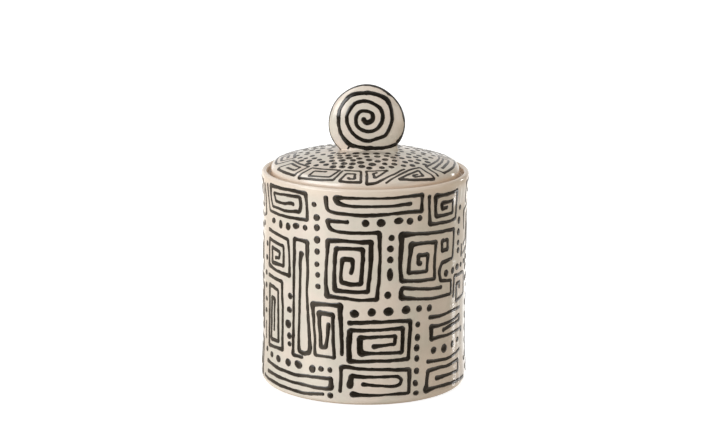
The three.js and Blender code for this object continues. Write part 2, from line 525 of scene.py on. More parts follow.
# Across a line, from one edge to the other: share of the half width, and share of the relief
LINE_SECTION = [(-0.96, 0.3), (-0.82, 0.74), (-0.55, 0.95), (0, 1), (0.55, 0.95), (0.82, 0.74), (0.96, 0.3)]


def rounded(route):
    """The route's corners drawn round, tight where it turns sharply and wide where it only bends."""
    points = [Vector((*point, 1)[:3]) for point in route]
    path = [points[0]]
    for before, corner, after in zip(points, points[1:], points[2:]):
        into = corner - before
        away = after - corner
        turn = into.xy.angle(away.xy, 0)
        cut = CORNER_CUT
        if turn < SHARP_TURN:
            cut += (BEND_CUT - CORNER_CUT) * (1 - turn / SHARP_TURN)
        start = corner - into * min(cut / into.xy.length, CUT_LIMIT)
        end = corner + away * min(cut / away.xy.length, CUT_LIMIT)
        path += drawn(path[-1], start)
        for i in range(1, CORNER_STEPS + 1):
            share = i / CORNER_STEPS
            path.append(start.lerp(corner, share).lerp(corner.lerp(end, share), share))
    return path + drawn(path[-1], points[-1])


def drawn(start, end):
    """Steps along a straight stretch, without its start."""
    steps = max(round((end - start).xy.length / LINE_STEP), 1)
    return [start.lerp(end, i / steps) for i in range(1, steps + 1)]


def tip(end, inner):
    """Close steps at the end of a line, for its round tip."""
    step = (inner - end) / (inner - end).xy.length
    return [end + step * reach for reach in TIP_STEPS]


def waver(waves, reach, hand):
    """Noise along a line, its own for each line."""
    return sum(share * noise.noise((reach * rate, hand * step, level)) for share, rate, step, level in waves)


def line_of_slip(route, half_width, hand):
    """Points, directions across and half widths along one line, as a hand draws it."""
    path = rounded(route)
    path = tip(path[0], path[1]) + path[1:-1] + tip(path[-1], path[-2])[::-1]
    reach = [0]
    for a, b in zip(path, path[1:]):
        reach.append(reach[-1] + (b - a).xy.length)
    turns = [0] * len(path)
    for i in range(1, len(path) - 1):
        turns[i] = (path[i] - path[i - 1]).xy.angle((path[i + 1] - path[i]).xy, 0)
    rings = []
    for i, point in enumerate(path):
        along = (path[min(i + 1, len(path) - 1)] - path[max(i - 1, 0)]).xy
        across = Vector((-along.y, along.x)).normalized()
        near = range(max(i - CORNER_SWELL_POINTS, 0), min(i + CORNER_SWELL_POINTS + 1, len(path)))
        swell = sum(turns[j] * math.exp(-(((reach[i] - reach[j]) / CORNER_SWELL_REACH) ** 2)) for j in near)
        swell = min(swell / CORNER_SWELL_TURN, CORNER_SWELL_MOST)
        to_end = min(reach[i], reach[-1] - reach[i]) + TIP_STEPS[0]
        width = half_width * point.z
        width *= 1 + WIDTH_WAVER * waver(WIDTH_NOISE, reach[i], hand) + CORNER_SWELL * swell
        width *= 1 + TIP_SWELL * math.exp(-((to_end / TIP_SWELL_REACH) ** 2))
        if to_end < width:
            width *= math.sqrt(1 - (1 - to_end / width) ** 2)
        drift = PLACE_WAVER * waver(PLACE_NOISE, reach[i], hand)
        rings.append((point.xy + across * drift, across, width))
    return rings


def lines(name, body, routes, place, half_width, relief, material):
    """All the lines of one surface as closed beads of slip, in one mesh."""
    vertices, faces, depths = [], [], []
    for hand, route in enumerate(routes):
        rings = line_of_slip(route, half_width, hand)
        start = len(vertices)
        for point, across, width in rings:
            height = relief * min(width / half_width, WIDE_LINE_RELIEF)
            section = [(-1, -LINE_SINK), *((t, k * height) for t, k in LINE_SECTION), (1, -LINE_SINK)]
            for t, h in section:
                where = point + across * t * width
                vertices.append(place(where.x, where.y, h))
                depths.append(max(h, 0) / LINE_RELIEF)
        count = len(LINE_SECTION) + 2
        for k in range(len(rings) - 1):
            for j in range(count):
                a = start + k * count + j
                b = start + k * count + (j + 1) % count
                faces.append((a, b, b + count, a + count))
        faces.append(tuple(range(start + count - 1, start - 1, -1)))
        faces.append(tuple(range(len(vertices) - count, len(vertices))))
    slip_piece(name, body, vertices, faces, depths, material)


def dots(name, body, spots, place, relief, material):
    """All the dots of one surface: one dab of slip, copied to each spot with its own size and lean."""
    bpy.ops.object.select_all(action="DESELECT")
    bpy.ops.mesh.primitive_uv_sphere_add(segments=DAB_SEGMENTS, ring_count=DAB_RINGS, location=(0, 0, 0))
    dab = bpy.context.object
    shape = [vertex.co.copy() for vertex in dab.data.vertices]
    skin = [tuple(face.vertices) for face in dab.data.polygons]
    bpy.data.objects.remove(dab)
    vertices, faces, depths = [], [], []
    for hand, (a, b, width, height, lean) in enumerate(spots):
        start = len(vertices)
        turn = Matrix.Rotation(math.radians(lean), 2)
        for point in shape:
            spot = (
                point.x * DAB_BLOT_WAVES + hand * DAB_BLOT_STEP[0],
                point.y * DAB_BLOT_WAVES,
                hand * DAB_BLOT_STEP[1],
            )
            blot = 1 + DAB_BLOT * noise.noise(spot)
            flat = turn @ Vector((point.x * width / 2 * blot, point.y * height / 2 * blot))
            lift = min(point.z * DAB_FLATNESS, 1) * relief if point.z > 0 else point.z * LINE_SINK
            vertices.append(place(a + flat.x, b + flat.y, lift))
            depths.append(max(lift, 0) / LINE_RELIEF)
        faces += [tuple(start + i for i in face) for face in skin]
    slip_piece(name, body, vertices, faces, depths, material)


def slip_piece(name, body, vertices, faces, depths, material):
    """One piece of slip, which keeps how deep it lies at each point."""
    mesh = bpy.data.meshes.new(name)
    mesh.from_pydata(vertices, [], faces)
    thickness = mesh.attributes.new("slip_depth", "FLOAT", "POINT")
    thickness.data.foreach_set("value", depths)
    piece = bpy.data.objects.new(name, mesh)
    bpy.context.collection.objects.link(piece)
    pick(piece)
    edit_all()
    bpy.ops.mesh.normals_make_consistent(inside=False)
    bpy.ops.object.mode_set(mode="OBJECT")
    finish(piece, body, material)


# Drawings: each point of a line has two places on its surface, and the line's width there where it isn't 1

# Lines on the wall: distance along it from the middle of the front, and height
WALL_FRETS = [
    # upper left fret
    [(-65.3, 112.3, 0.9), (-65.4, 104, 0.75), (-63.5, 97.6, 0.9), (-50, 97.2, 0.9), (-31.6, 97.8, 1.05),
     (-31.8, 106, 0.95), (-32.3, 112, 1.35), (-36, 112.3, 1.2), (-48, 112.2, 0.9), (-61, 111.6, 1.45),
     (-61.6, 105, 0.9), (-59.8, 100.4, 0.9), (-45, 100.5, 0.9), (-36.8, 101.4, 1.15),
     (-35.6, 105, 1.15), (-36.2, 109.5, 1.05), (-48, 109, 0.85), (-57.6, 108.2, 0.9), (-56, 104, 0.95),
     (-48, 104.2, 0.9), (-43.5, 105.2), (-40, 104.8, 1.2)],
    # strokes at the left edge
    [(-70.6, 111.5, 0.8), (-70.2, 103), (-69.6, 94.5), (-73.6, 93), (-86, 92.6), (-97.5, 92.2, 1.3),
     (-98, 103), (-97.4, 111.8, 1.4), (-88, 112), (-74.4, 112, 0.9), (-74, 105, 0.7),
     (-74.2, 98.4, 0.9), (-84, 97.4), (-92.6, 97.6, 1.4), (-92.9, 107, 1.2), (-81.2, 107.2, 1.3),
     (-80.8, 103)],
    [(-76.4, 86.8, 1.4), (-88, 86.2), (-98.2, 85.9, 1.4), (-97.6, 74), (-98, 62.6, 1.3), (-86, 62.2),
     (-76.4, 62.7, 0.8), (-76.2, 72, 0.6), (-76.4, 80.8, 0.8), (-85, 81), (-93.2, 80.6, 1.5),
     (-92.8, 74), (-92.9, 67.8, 1.2), (-80.8, 68.2, 1.3), (-81, 75.4, 1.2), (-87.6, 75.2, 1.4)],
    [(-69.4, 36, 0.8), (-69.8, 31, 0.7), (-69.5, 25.6, 0.8)],
    # long fret at the top of the front
    [(-20.7, 112.3, 1.45), (-20.1, 105.5, 1.15), (-18.8, 104), (-14, 103.2), (-4, 102.6),
     (3, 102.5, 1.35), (9, 102.9), (20, 103.5), (31.2, 103.3, 1.3), (31, 108), (30.9, 112, 1.35),
     (22, 111.9, 0.85), (8, 111.5, 0.8), (-6, 111.6, 0.85), (-11, 111.7), (-15.2, 111.3, 1.75),
     (-14.4, 109, 1.65), (-11.2, 107.6), (0, 107.2, 0.9), (12, 107.3, 0.9), (25.2, 107.8, 1.3)],
    # hook and square spiral of the front
    [(-8, 98.9, 1.3), (-13, 98.7), (-19.7, 98.9, 1.45), (-19.2, 96.4, 1.15), (-18, 94.6, 1.1),
     (-15.4, 93.6), (-10, 93.3), (0, 93.4), (7.3, 93.1, 1.4), (8.1, 84), (7.7, 72), (6.6, 57.8, 1.25),
     (-2, 57.2), (-11, 58), (-19.8, 58.6, 1.6), (-20.8, 66, 1.1), (-20.1, 80), (-19.6, 88.3, 1.5),
     (-8, 88.6), (3.3, 88.3, 1.45), (3.1, 76, 1.15), (2, 61.8, 1.15), (-6, 61.6), (-15.4, 62, 1.55),
     (-16, 72), (-15, 84.5, 1.45), (-8, 85), (-1, 84.4, 1.3), (-1, 74, 1.1), (-1.8, 66.1, 1.3),
     (-7, 65.7, 1.3), (-12, 66.6, 1.15), (-12.2, 73, 0.9), (-11.5, 79, 1.3), (-6.3, 78.9, 1.4),
     (-6, 74, 1.2), (-7.2, 70.7, 1.1)],
    # upper right fret
    [(35.4, 111.6, 1.35), (36, 103), (36.6, 95.6, 1.3), (44, 95.1), (51, 94.5), (58.2, 95), (59, 103),
     (58.7, 110.2, 1.2), (48, 109.8), (40.2, 110, 1.8), (40.2, 104, 1.1), (40.9, 99.1, 1.3), (48, 98.8),
     (54.8, 98.9), (54.8, 105.6), (45, 105.4, 1.25), (45.6, 102.5, 1.2), (50.6, 102.5)],
    # right fret, its hook and the long bars below
    [(31.8, 75.2, 1.4), (29.2, 75.5, 1.2), (29.3, 79.8, 1.4), (35.2, 79.4, 1.2), (34.8, 70.5),
     (23.5, 70.9, 1.3), (24.2, 79, 1.2), (25.2, 86, 1.8), (33, 86), (41.2, 85.4, 1.25), (40, 75, 1.1),
     (40.4, 65.7, 1.15), (30, 66), (19.6, 67.1, 1.35), (18.8, 76, 1.2), (19.5, 91.6, 1.9),
     (27, 91.4, 1.1), (36, 90.8), (56.8, 89.7, 1.15), (56.2, 80), (55.4, 74.3), (45.8, 73.3, 1.4),
     (43.5, 69, 1.2), (44.8, 63.8, 1.2), (54.3, 62.3), (54.3, 55), (40, 55.2), (29, 56.4),
     (19.8, 58, 1.7), (19.2, 61, 1.4), (20.3, 63.2, 1.3), (29, 61.9), (38, 60.5), (46.4, 60.3, 1.15)],
    # small square
    [(48.2, 85.2, 1.1), (45.8, 85.1, 1.2), (45.9, 79.7, 1.2), (50.6, 79.8, 1.1), (50.6, 85.1, 1.1),
     (47.6, 85.2, 1.1)],
    # left spiral
    [(-65.6, 87.3, 1.1), (-55, 86.4, 0.92), (-45, 85.4, 1.1), (-44.2, 76, 0.9), (-43.9, 66, 1.15),
     (-54, 66.2, 0.92), (-64.9, 67.6, 1.4), (-64.5, 75, 0.95), (-64.1, 82.2, 1.1), (-49.1, 81),
     (-49, 70.2, 1.15), (-60.4, 70.1, 1.2), (-60.8, 78.2), (-52.4, 77.2), (-53, 73.7, 0.9),
     (-57.6, 73.2)],
    # tall loop
    [(-35, 80.8, 2.1), (-36, 77.4, 1.45), (-36.3, 73), (-36.3, 60, 0.95), (-36.9, 40, 0.95),
     (-37.3, 28.4, 1.2), (-36.6, 26.1, 1.6), (-33.4, 25.3, 1.4), (-30.5, 26.3, 1.5), (-29.7, 29, 1.4),
     (-30.1, 35, 1.15), (-31.3, 50, 0.95), (-31.9, 60, 0.9), (-31.1, 71, 0.95), (-31.8, 86, 1.45),
     (-36, 86.6), (-40.2, 86.7, 1.3), (-40.7, 62), (-40.9, 42), (-41.3, 23.7, 1.3), (-34, 23.2)],
    # tall spiral at the left
    [(-66.2, 62.2, 1.1), (-50.3, 61.3, 1.2), (-49.8, 44), (-49.8, 24.4, 1.2), (-57, 23.9),
     (-64.6, 23.7, 1.2), (-64.2, 56.8, 1.3), (-59, 56.8, 1.2), (-54.1, 56), (-53.7, 28, 1.2),
     (-61.6, 27.8, 1.1), (-61, 50.7, 1.2), (-57.8, 50.4, 1.1), (-58.2, 32.5, 0.8)],
    # upright fret left of the front
    [(-11.4, 26.7, 1.05), (-12, 40, 1.15), (-12.5, 54, 1.7), (-20, 54), (-28.2, 53.3, 1.6),
     (-27.1, 40, 0.8), (-26.6, 25.9), (-20, 25.4, 0.8), (-15.6, 25.4, 1.1), (-16.5, 38),
     (-16.4, 48.8, 1.3), (-24.1, 48.9, 1.7), (-23.8, 40), (-23.1, 30.4, 1.3), (-20.3, 30.8, 1.3),
     (-19.3, 36), (-19, 44.5, 1.3)],
    # lower spiral of the front
    [(-8.9, 44.9, 1.7), (-4, 45.1, 1.15), (4, 45.4, 1.2), (14, 45.8), (24.9, 45.1, 1.4),
     (24.7, 36, 1.15), (24, 24.4, 1.2), (10, 24.3, 1.05), (-2, 24.3, 1.1), (-7.7, 24.4, 1.7),
     (-7.9, 33, 1.6), (-7.3, 40.8, 1.6), (0, 41), (12, 41.4), (20.7, 41.6, 1.4), (20.7, 35, 1.1),
     (20.3, 28.5, 1.15), (9, 28.6), (3, 28.6, 1.15), (-1.4, 28.8, 1.9), (-2.2, 32.5, 1.9),
     (-2, 36.9, 1.8), (2, 37.2, 1.1), (8, 37.5), (16.7, 37.5, 1.15), (16.3, 33), (10, 32.8),
     (3.9, 32.2, 1.5)],
    # low fret of the front, and the one inside it
    [(-12.3, 6.8), (-11.7, 14), (-12.1, 20.8, 1.25), (-9.4, 21.3, 1.2), (-4, 20.4), (10, 19.8),
     (24.7, 18.6, 1.25), (24.5, 11, 1.1), (24.3, 6, 1.1), (12, 6, 0.65), (2, 6), (-2, 6.2, 1.4),
     (-5.4, 6.5, 1.9), (-7.3, 6.8, 1.5)],
    [(-7.4, 9.3, 1.8), (-6.9, 13, 1.7), (-6.2, 16.2, 1.5), (0, 16, 1.05), (8, 15.8, 0.9),
     (18.5, 15.7, 0.9), (20.4, 13.8, 0.95), (19.4, 11.2, 0.9), (16.5, 10.3, 0.9), (7, 11.1, 0.9),
     (-1.4, 11.9, 1.3)],
    # low bars at the left
    [(-66.8, 14.8, 1.2), (-60, 14), (-53, 13.2, 1.2), (-46, 13), (-40, 12.9, 1.15), (-30, 13.7),
     (-17.4, 14.2, 1.3), (-17.2, 9.4, 1.5), (-20, 8.3, 1.1), (-30, 8.4), (-45, 8.6), (-65.6, 9.2, 1.2)],
    [(-71, 5.6), (-65, 4.7), (-52, 4.5, 1.15), (-42, 4.3), (-32, 4, 1.1), (-20.8, 5.3)],
    # lower right: a bar and an open fret
    [(36.2, 45.3, 1.4), (45, 44.6), (55, 45.2), (66, 45.3)],
    [(68.2, 30.6), (68.4, 33.4), (58, 33), (52, 32.8), (45, 33.4), (38.5, 33.1, 1.45),
     (38.2, 40.1, 1.6), (46, 39.5), (56, 39.8), (65, 41.2), (65.2, 38.2), (56, 37.7),
     (46.6, 36.4, 1.5)],
    # low right fret under its bar
    [(35.2, 21.4, 1.4), (42, 20.8), (50, 19.8), (57, 20.2), (66.5, 22)],
    [(73.6, 4.5), (66, 5.1), (60, 5.3), (48, 5.9, 1.15), (41, 6.1), (34.8, 5.8, 1.8), (35.4, 11, 1.15),
     (36.4, 16, 1.45), (44, 16.5), (51, 15.8), (63.4, 16.6), (63, 10.6), (52, 10.9), (41, 11.1, 1.5)],
    # narrow spiral at the right edge
    [(57, 52), (57.4, 58), (58, 63.8), (69.5, 63.6), (72.8, 62.2, 0.9), (72.6, 51.4), (60.3, 49.5),
     (60.6, 58.9), (65.2, 59.2), (65, 55.4)],
    # strokes at the right edge
    [(80, 106.4, 1.3), (88.6, 106, 1.2), (89, 111.8, 1.3), (82, 112.2), (73.4, 112, 0.9), (74, 105),
     (74.4, 100.4, 1.1)],
    [(80.6, 69.6, 1.4), (88.4, 69.2, 1.3), (88.2, 84), (88.8, 99.6, 1.4), (83, 99.8), (77.5, 98.5, 0.9),
     (70.6, 97, 0.9), (70.9, 91), (71.4, 86.4, 0.8)],
    [(80.2, 88.8, 1.4), (79.9, 80), (80.2, 74.8, 1.3), (84.2, 74.6, 1.3), (83.9, 84), (84.3, 94.4, 1.4),
     (76.4, 93.5, 0.8), (76, 80.6, 0.8), (69.8, 78.4, 0.8)],
    [(67.1, 79.8, 0.8), (67.4, 75), (67.2, 72.2)],
    [(91, 63.6, 1.4), (84, 64), (76.8, 64.4, 1.2), (76.4, 75.8, 0.8), (70, 73.6, 0.8)],
]

# Dots on the wall: place, width, height and lean in degrees
WALL_DOTS = [
    (-58.8, 93, 4.2, 2.9, 18), (-51.5, 92.3, 3.2, 4.4, 0), (-45.2, 92.4, 3.6, 3.9, 0),
    (-39.2, 93.6, 4.5, 3.2, 12), (-33, 93.6, 2.9, 3, 0), (-27.3, 106.7, 2.8, 2.7, 0),
    (-25.9, 99.9, 3.7, 3.5, 0), (-25.8, 94.5, 3.4, 3.6, 0), (-25.6, 88, 3.5, 3.9, 0),
    (-25.6, 81.8, 3.1, 3.3, 0), (-25.7, 75, 2.8, 2.8, 0), (-25.2, 69.4, 2.8, 3, 0),
    (-25, 63.2, 3, 3, 0), (-43.5, 55, 3.3, 3.4, 0), (-44.2, 47.5, 3.8, 3.3, 0),
    (-45, 39.5, 4.4, 4.6, 20), (-44.2, 33.2, 3.3, 3.6, 0), (-44, 28.8, 2.9, 2.8, 0),
    (-67.6, 20.5, 3, 2.8, 0), (-60.8, 19, 3.5, 3.1, 0), (-53.5, 18.5, 4.2, 3.8, 0),
    (-44.8, 18.4, 4.3, 4.1, 0), (-37.3, 18.8, 5.2, 4.1, -24), (-28.2, 18, 3.8, 4.1, 0),
    (-23, 18.7, 3.2, 2.9, 0), (-18, 18.7, 2.7, 2.9, 0), (-17.5, 4.9, 3.2, 3.1, 0),
    (0.4, 98.4, 3.8, 3.7, 0), (8.4, 98.5, 4.3, 4.2, 0), (17.8, 99.2, 5, 3.3, 8),
    (24.1, 98.5, 3.7, 3.6, 0), (30, 99.6, 2.9, 3.1, 0), (14, 90.4, 3.3, 3.2, 0),
    (13.4, 84.6, 3.5, 3.5, 0), (13.4, 78.7, 3.2, 3.6, 0), (13.4, 70.8, 3.3, 6.4, 0),
    (12.3, 59.8, 3.5, 3.9, 0), (49.6, 67, 3.9, 3.8, 0), (56, 67.3, 3.3, 3.6, 0),
    (61.3, 68.2, 4.2, 3.4, 0), (66.8, 68.3, 3, 2.6, 0), (72.4, 68.9, 2.8, 2.6, 0),
    (75, 14.2, 2.6, 2.4, 0), (93.4, 108.4, 3, 3.2, 0), (93.6, 101.2, 3.3, 3.6, 0),
    (93.2, 93.8, 3.4, 3.3, 0), (93.6, 86.6, 3.1, 3.6, 0), (93.3, 79.6, 3.4, 3.4, 0),
    (93.8, 72.4, 3, 3.2, 0), (64, 100, 2.8, 2.6, 0), (62.8, 93.3, 3.3, 3.9, 0), (62.3, 87, 3.3, 3.7, 0),
    (62.2, 81.2, 2.8, 2.9, 0), (62.3, 77, 3.5, 3.1, 0), (-5, 50, 4.6, 4.2, 0), (4, 50.8, 4.1, 4.2, 0),
    (12.8, 51, 5.2, 4.6, 0), (22.5, 51.2, 4.7, 4.4, 0), (30.2, 51, 3.6, 3.4, 0),
    (36.9, 50.4, 3.5, 3.7, 0), (29.5, 42.5, 2.9, 3.1, 0), (29.4, 35.5, 3.3, 3.8, 0),
    (29.1, 29.8, 3.4, 3.8, 0), (29.2, 24, 3, 3.4, 0), (29, 17.3, 3.1, 3.4, 0), (28.2, 10.8, 3, 3.6, 20),
    (28.6, 5.4, 3.3, 2.6, 0), (40.4, 26.7, 3.9, 3.7, 0), (48.8, 26.1, 4.8, 4.7, 0),
    (56.5, 26.8, 2.8, 4, 0), (62.8, 27.8, 3, 2.8, 0), (-68, 78.7, 2.8, 3, 0), (-68.8, 71, 3, 3.2, 0),
    (-69.9, 62.4, 3, 3, 0), (-69.9, 55.4, 3, 3, 0), (-69.4, 48, 3, 2.8, 0), (-69.8, 41.5, 3, 2.8, 0),
    (-73.6, 88.8, 2.6, 3, 0),
]
WALL_DOT_FULLNESS = 1.1

# Height that a point of the wall's drawing and its copy at the back add up to
TURNED_HEIGHT = RIM + 1
# Row of dots at each side: how many stand left and right of its middle one, and their places and sizes
SIDE_DOT_COUNT = 2
SIDE_DOT_PITCH = 4.5
SIDE_DOT_LEVEL = RIM / 2 + 0.5
SIDE_DOT_HEIGHT = 3.3
SIDE_DOT_WIDTHS = (3.2, 3.5)

# Lines on the lid: distance along its girth from the front, and down its slope from the top of the dome
LID_FRETS = [
    [(-53.5, 47), (-44.3, 47.2), (-44.2, 43.4), (-56.8, 42.7), (-58.4, 50.4), (-40.3, 50.7),
     (-39.9, 40.5), (-52, 40.2), (-63.4, 40.2), (-65.6, 48.7), (-86, 48.8), (-85.6, 38.6),
     (-67.6, 38.4), (-69.4, 45.7), (-81.4, 45.6), (-81, 42), (-72, 42)],
    [(-23.3, 42.8), (-31.6, 43.9), (-31.4, 49.4), (-25, 48.8), (-19.3, 47.9), (-16.4, 39.6),
     (-27, 40.2), (-36.3, 41), (-36.9, 51.6), (-27, 51), (-16.4, 50), (-15.3, 45), (-14.4, 39.5)],
    [(-9.2, 46.6), (-8.6, 48.5), (-5.5, 48.5), (-5.9, 42.9), (-11.2, 43), (-13.2, 50.5), (-2, 50.9),
     (-2.5, 45), (-3.1, 39.8), (-14, 39.6)],
    [(27, 38.9), (20, 42.1), (12, 46.7), (5.4, 51.3), (0.6, 51.8), (1, 45), (0.7, 39.5), (8, 39.2),
     (14.6, 39.2), (10, 43), (5, 47.5), (4.7, 42.4), (7.8, 41.2)],
    [(10, 51.4, 0.65), (18, 46, 0.85), (26, 41.8), (32, 40.2), (38.6, 40), (37.8, 46), (38.6, 51.8),
     (29, 51), (17.6, 49.4, 1.2), (24, 45.8), (34.6, 42.6), (32.6, 48.7), (27, 48.5), (27.6, 47),
     (31, 46.7)],
    [(42, 51.2), (42.5, 44), (44.2, 40.5), (54, 39.8, 0.9), (64, 40, 0.8), (79.6, 39.8, 0.8),
     (80, 48.8, 0.8), (70, 49, 0.8), (58, 49.3, 0.9), (48, 50), (46.2, 44.2), (56, 42.6, 0.9),
     (75.6, 42, 0.8), (75.4, 45, 0.8), (64, 45.2, 0.85), (52, 46.2, 1.2)],
]

# Part of the lid's frets that its back has again, and the square spirals between them
LID_BACK_FRETS = LID_FRETS[1:5]
LID_BACK_FILL = [(83.5, 96.5), (99.5, 111), (196.5, 212)]
LID_BACK_UPPER = 40
LID_BACK_LOWER = 50.4
LID_BACK_PITCH = 3.4
# Share of the pitch that has to be left for one more turn of a square spiral
SPIRAL_ROOM = 0.6

# Dots on the lid's front half, seen from above: place and size
LID_DOTS = [
    (-14, -10.8, 2.6), (-11.5, -10.8, 2.8), (-5, -11.8, 3.6), (0.2, -13.3, 3.5), (6, -12.2, 3.4),
    (12, -10.3, 3), (17, -12.7, 2.8), (17.3, -7.6, 2.4), (-18.7, -14, 2.8), (-13.7, -14.9, 2.6),
    (-9.3, -15.7, 3), (-5, -17.3, 3), (1, -18.6, 2.8), (6.3, -17.8, 3.2), (11.2, -15.5, 2.8),
    (14.8, -17.6, 2.8), (19.3, -17, 2.7), (-17.7, -18.1, 2.6), (-13.3, -19.1, 3), (-8.6, -20.6, 3.2),
    (-3.2, -21.7, 3), (2, -24, 3.2), (6.5, -25.7, 3), (10.4, -22.2, 3.2), (15.4, -22.6, 2.8),
    (20.9, -22.9, 3), (-22.7, -23.3, 3), (-17.6, -23.2, 3), (-12.2, -23.8, 3.3), (-6.5, -24.4, 3),
    (-2.5, -27.9, 3.6), (3.6, -30.4, 3.7), (10.2, -28.8, 2.8), (15.2, -28, 3), (20, -28.6, 2.6),
    (24.8, -26.4, 3), (-25.8, -27, 2.6), (-20.6, -28, 2.8), (-16.2, -27.3, 2.8), (-11.2, -28.6, 3.2),
    (-6.8, -29.7, 3.2), (-1.9, -33.3, 3.3), (2, -35.4, 3), (8.7, -34.1, 2.8), (13.7, -32.4, 2.8),
    (-17, -31.9, 3.4), (-12.1, -32.8, 3.2), (-7.6, -34.3, 3), (-30.1, -22.3, 3), (-29.7, -18.2, 3),
    (-27, -15, 2.8), (-24.3, -18.9, 2.5), (-34, -14.9, 2.8), (-31.7, -12.2, 2.4), (-34.8, -8.5, 2.6),
    (-28.3, -9.4, 2.6), (-22.5, -9.7, 2.6), (-17.2, -8.6, 2.8), (-25.5, -3.5, 2.6), (-18.6, -2.5, 2.6),
    (-31.3, -2.8, 2.8), (-36.5, -1.8, 2.4), (23, -13.5, 2.8), (23.2, -7, 2.8), (26.8, -11.1, 2.8),
    (28.2, -15.8, 2.8), (32, -11, 3), (33, -16.3, 3), (28.7, -6.6, 2.8), (34.9, -5.6, 2.6),
    (25.5, -2.2, 2.6), (19.4, -2.8, 2.4), (24, -19.6, 2.7), (27.2, -21.2, 2.7), (31.4, -21.5, 2.6),
    (31, -1.4, 2.4),
]
# A dot's width and depth, as shares of its size
LID_DOT_FULLNESS = 1.16
LID_DOT_DEPTH = 1.3

# Line on the knob's faces: across from the middle, and up from it
KNOB_SPIRAL = [
    (-1.9, 4.3, 1.2), (-1.7, 2.7, 1.25), (-0.5, 1.4, 1.35), (1.1, 1.3, 1.35), (2.7, 2.4, 1.3),
    (3.4, 4, 1.2), (3, 5.6, 1.1), (1.8, 6.8), (-0.2, 7.5), (-2.6, 7.5), (-4.4, 6.6), (-5.6, 4.9),
    (-6, 2.7), (-5.7, 0.5), (-4.7, -1.3), (-2.9, -2.7, 1.05), (-0.7, -3.5, 1.05), (1.4, -3.6),
    (3.8, -3.2), (5.6, -2.1, 1.1), (7.1, -0.3, 1.1), (8.3, 1.9, 1.1), (8.6, 4.6, 1.1), (8.2, 7, 1.1),
    (7, 9), (5.1, 10.4), (2.5, 11.8, 1.05), (0.1, 12.6), (-2.1, 12.7), (-4.5, 12.3), (-6.6, 11.3, 0.95),
    (-8.2, 9.3), (-9.6, 7), (-10.6, 4.6), (-10.8, 2.1), (-10.3, -0.1), (-9, -2.5), (-7.4, -4.7, 1.05),
    (-5.3, -6.6, 1.05), (-2.9, -7.9, 1.05), (-0.5, -8.7, 1.1), (1.4, -8.8, 1.1), (3.5, -8.1),
    (5.4, -7.3), (7.5, -6.8, 1.05), (9.4, -6.3, 1.1), (10.8, -5, 1.1), (11.9, -2.8, 1.05), (12.8, -0.3),
    (13.3, 2.4), (13.2, 5.7), (12.8, 9), (11.9, 11.7, 1.1), (10.4, 13.6, 1.2), (8.3, 14.7, 1.15),
    (5.9, 15.7), (3.5, 16.4), (0.6, 16.8, 1.1), (-2.6, 16.7), (-5.8, 16.3), (-8.2, 15.5, 1.1),
    (-10.3, 14.1, 1.1), (-11.9, 12.5), (-13.3, 10, 0.9), (-14.6, 7.6, 0.9), (-15.1, 5.1), (-15.2, 2.4),
    (-15, -0.3), (-14.3, -3.1), (-13.4, -5.8), (-11.9, -8.2, 1.1), (-10.3, -10.2, 1.35),
    (-8.5, -11.4, 1.3), (-5.8, -11.8), (-3.1, -12.5, 1.1), (-0.5, -12.9, 1.2), (2.2, -12.7, 1.15),
    (5.9, -12.7, 1.1), (9.6, -12.6, 1.05), (12.8, -12.2), (15, -11.5), (16.4, -10.6, 0.95),
]

# A spur where the brush set off again
KNOB_SPUR = [(-9, -11.6, 0.6), (-10.2, -13.8, 0.4)]

# Line round the knob's edge: degrees round it from the right, place across it, width
KNOB_EDGE = [
    (-33, -3, 0.5), (-29, -2, 0.75), (-22, -1, 0.95), (-12, -0.5, 0.95), (0, -0.4, 0.82),
    (9, -0.4, 1.3), (16, -0.4, 0.9), (28, -0.4, 0.8), (40, -0.4, 0.82), (48, -0.4, 0.82),
    (53, -0.4, 1.3), (59, -0.4, 0.95), (68, -0.4, 1.05), (80, -0.4, 0.9), (95, -0.4, 0.8),
    (115, -0.4, 0.66), (150, -0.4, 0.62), (180, -0.4, 0.66), (198, -0.5, 0.7), (208, -0.7, 0.7),
    (216, -1, 0.5), (222, -1.5, 0.36), (227, -1.9, 0.3),
]


def back_of(points, half_turn):
    """The same lines or dots of the wall turned upside down and carried to the back."""
    return [(half_turn - along, TURNED_HEIGHT - z, *rest) for along, z, *rest in points]


def square_spiral(left, upper, right, lower, pitch):
    """An inward fret that fills a rectangle of the lid, from its lower left corner."""
    route = [(left, lower)]
    while min(right - left, lower - upper) > SPIRAL_ROOM * pitch:
        route += [(right, lower), (right, upper), (left, upper)]
        lower -= pitch
        right -= pitch
        upper += pitch
        route.append((left, lower))
        left += pitch
    return route[:-1]


def side_dots(middle):
    """A row of dots between the drawing of the front and that of the back."""
    return [
        (middle + i * SIDE_DOT_PITCH, SIDE_DOT_LEVEL, SIDE_DOT_WIDTHS[i % 2], SIDE_DOT_HEIGHT, 0)
        for i in range(-SIDE_DOT_COUNT, SIDE_DOT_COUNT + 1)
    ]


def wall_drawing(material):
    """Lines and dots of the front, their copies at the back, and a row of dots at each side."""
    half_turn = math.pi * WALL_RADIUS
    lines("wall_lines_front", "jar", WALL_FRETS, on_wall, LINE_HALF_WIDTH, LINE_RELIEF, material)
    back = [back_of(route, half_turn) for route in WALL_FRETS]
    lines("wall_lines_back", "jar", back, on_wall, LINE_HALF_WIDTH, LINE_RELIEF, material)
    spots = WALL_DOTS + back_of(WALL_DOTS, half_turn) + side_dots(-half_turn / 2) + side_dots(half_turn / 2)
    spots = [(a, b, w * WALL_DOT_FULLNESS, h * WALL_DOT_FULLNESS, lean) for a, b, w, h, lean in spots]
    dots("wall_dots", "jar", spots, on_wall, WALL_DOT_RELIEF, material)


